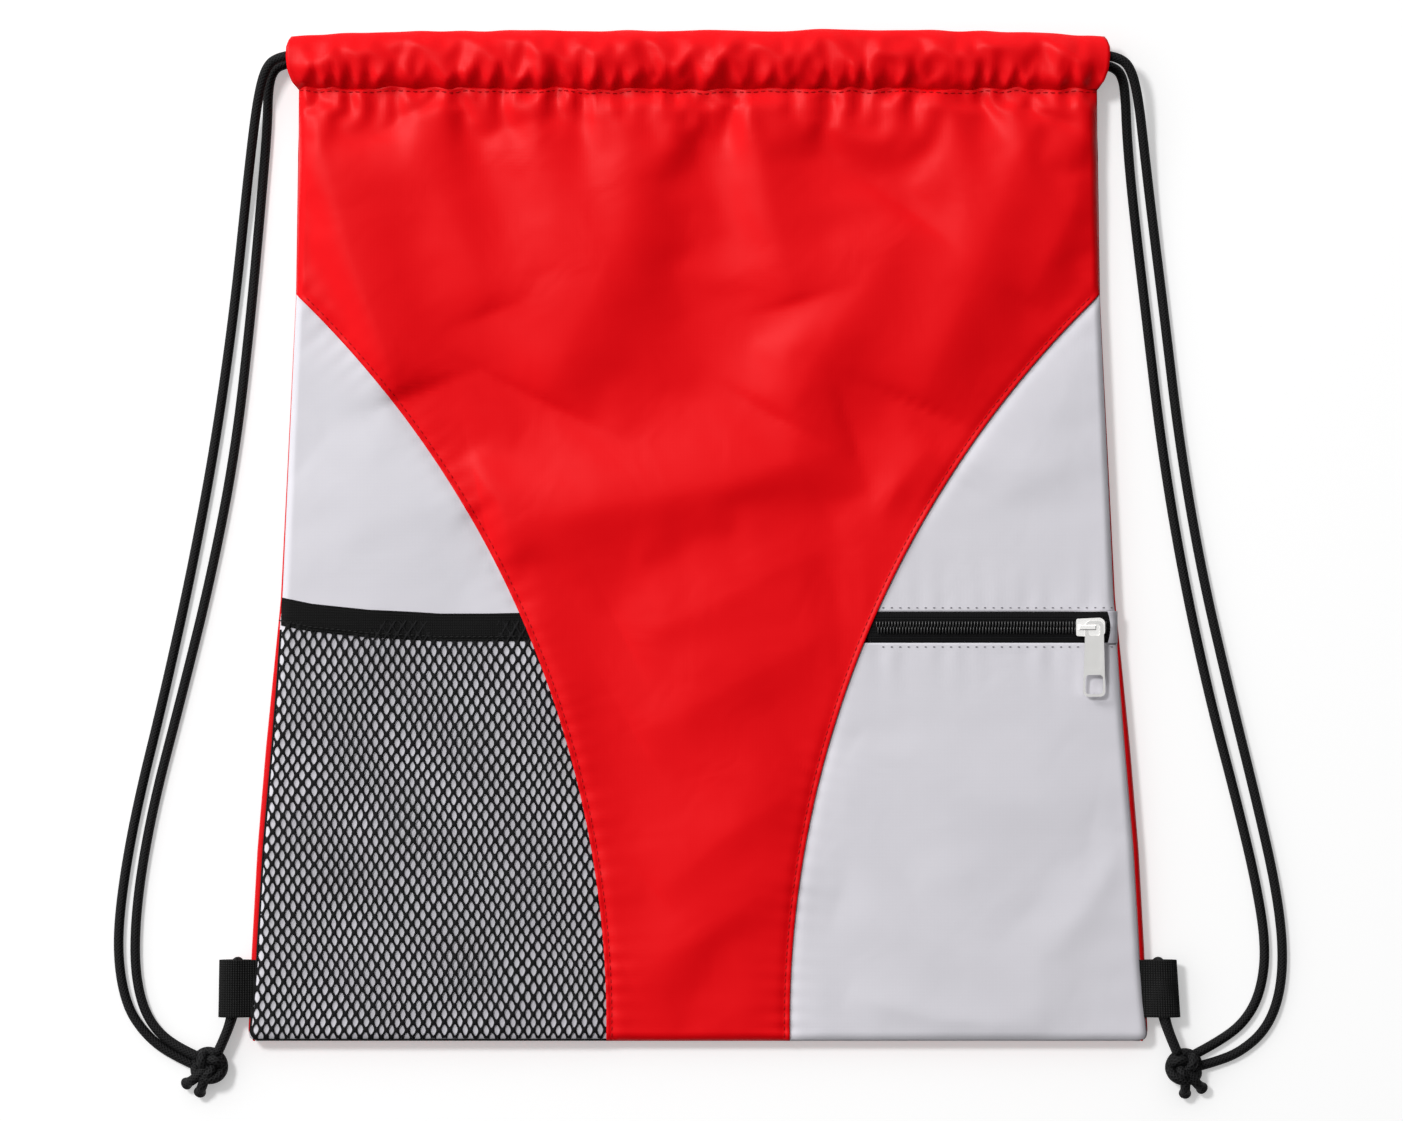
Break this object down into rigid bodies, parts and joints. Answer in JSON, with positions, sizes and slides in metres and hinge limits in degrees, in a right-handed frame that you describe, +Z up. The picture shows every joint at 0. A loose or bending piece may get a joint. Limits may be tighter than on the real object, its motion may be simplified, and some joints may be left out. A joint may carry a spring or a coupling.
{
  "type": "drawstring backpack",
  "caption": "Flat drawstring backpack: gathered cord casing at the mouth, hourglass front panel, open mesh pocket, zipped pocket, webbing tabs and knotted shoulder cords.",
  "frame": {"origin": "on the floor, under the middle of the bag as it lies on its back", "axes": "+X across the bag towards the zipped side, +Y along the bag towards the mouth, +Z up through the front"},
  "size_m": [0.5025, 0.4562, 0.0183],
  "materials": {
    "red_polyester": "satin woven polyester",
    "grey_polyester": "matt woven polyester",
    "black_mesh": "knitted polyester mesh",
    "black_webbing": "ribbed polypropylene webbing",
    "black_elastic": "folded knitted elastic",
    "black_cord": "braided polyester cord",
    "zip_tape": "woven polyester tape",
    "zip_teeth": "nylon coil",
    "plated_zinc": "nickel-plated zinc die casting",
    "red_thread": "polyester sewing thread",
    "grey_thread": "polyester sewing thread",
    "black_thread": "polyester sewing thread"
  },
  "bodies": {
    "bag": {"back_panel": "red_polyester", "front_center_panel": "red_polyester", "front_side_panel_left": "grey_polyester", "front_side_panel_right": "grey_polyester", "zip_pocket_face": "grey_polyester", "zip_pocket_lining": "grey_polyester", "zipper_end_tab": "grey_polyester", "casing_front": "red_polyester", "casing_back": "red_polyester", "mesh_pocket": "black_mesh", "mesh_pocket_binding": "black_elastic", "webbing_tab_left": "black_webbing", "webbing_tab_right": "black_webbing", "zipper_tape_upper": "zip_tape", "zipper_tape_lower": "zip_tape", "zipper_coil_upper": "zip_teeth", "zipper_coil_lower": "zip_teeth", "drawcord_left_tunnel": "black_cord", "drawcord_right_tunnel": "black_cord", "drawcord_left_outer": "black_cord", "drawcord_left_inner": "black_cord", "drawcord_right_outer": "black_cord", "drawcord_right_inner": "black_cord", "tab_loop_left": "black_cord", "tab_loop_right": "black_cord", "knot_left": "black_cord", "knot_right": "black_cord", "stitch_seam_left": "red_thread", "stitch_seam_right": "red_thread", "stitch_casing_front": "red_thread", "stitch_casing_back": "red_thread", "stitch_zip_upper": "grey_thread", "stitch_zip_lower": "grey_thread", "stitch_binding": "black_thread"},
    "slider": {"zip_slider": "plated_zinc"},
    "puller": {"zip_puller": "plated_zinc"}
  },
  "joints": [
    {"name": "zip_slide", "type": "slide", "parent": "bag", "child": "slider", "axis": [1, 0, 0], "range_m": [-0.084, 0]},
    {"name": "puller_swing", "type": "hinge", "parent": "slider", "child": "puller", "pos_m": [0.1688, -0.039, 0.015], "axis": [0, 0, 1], "range_deg": [-20, 200]}
  ]
}
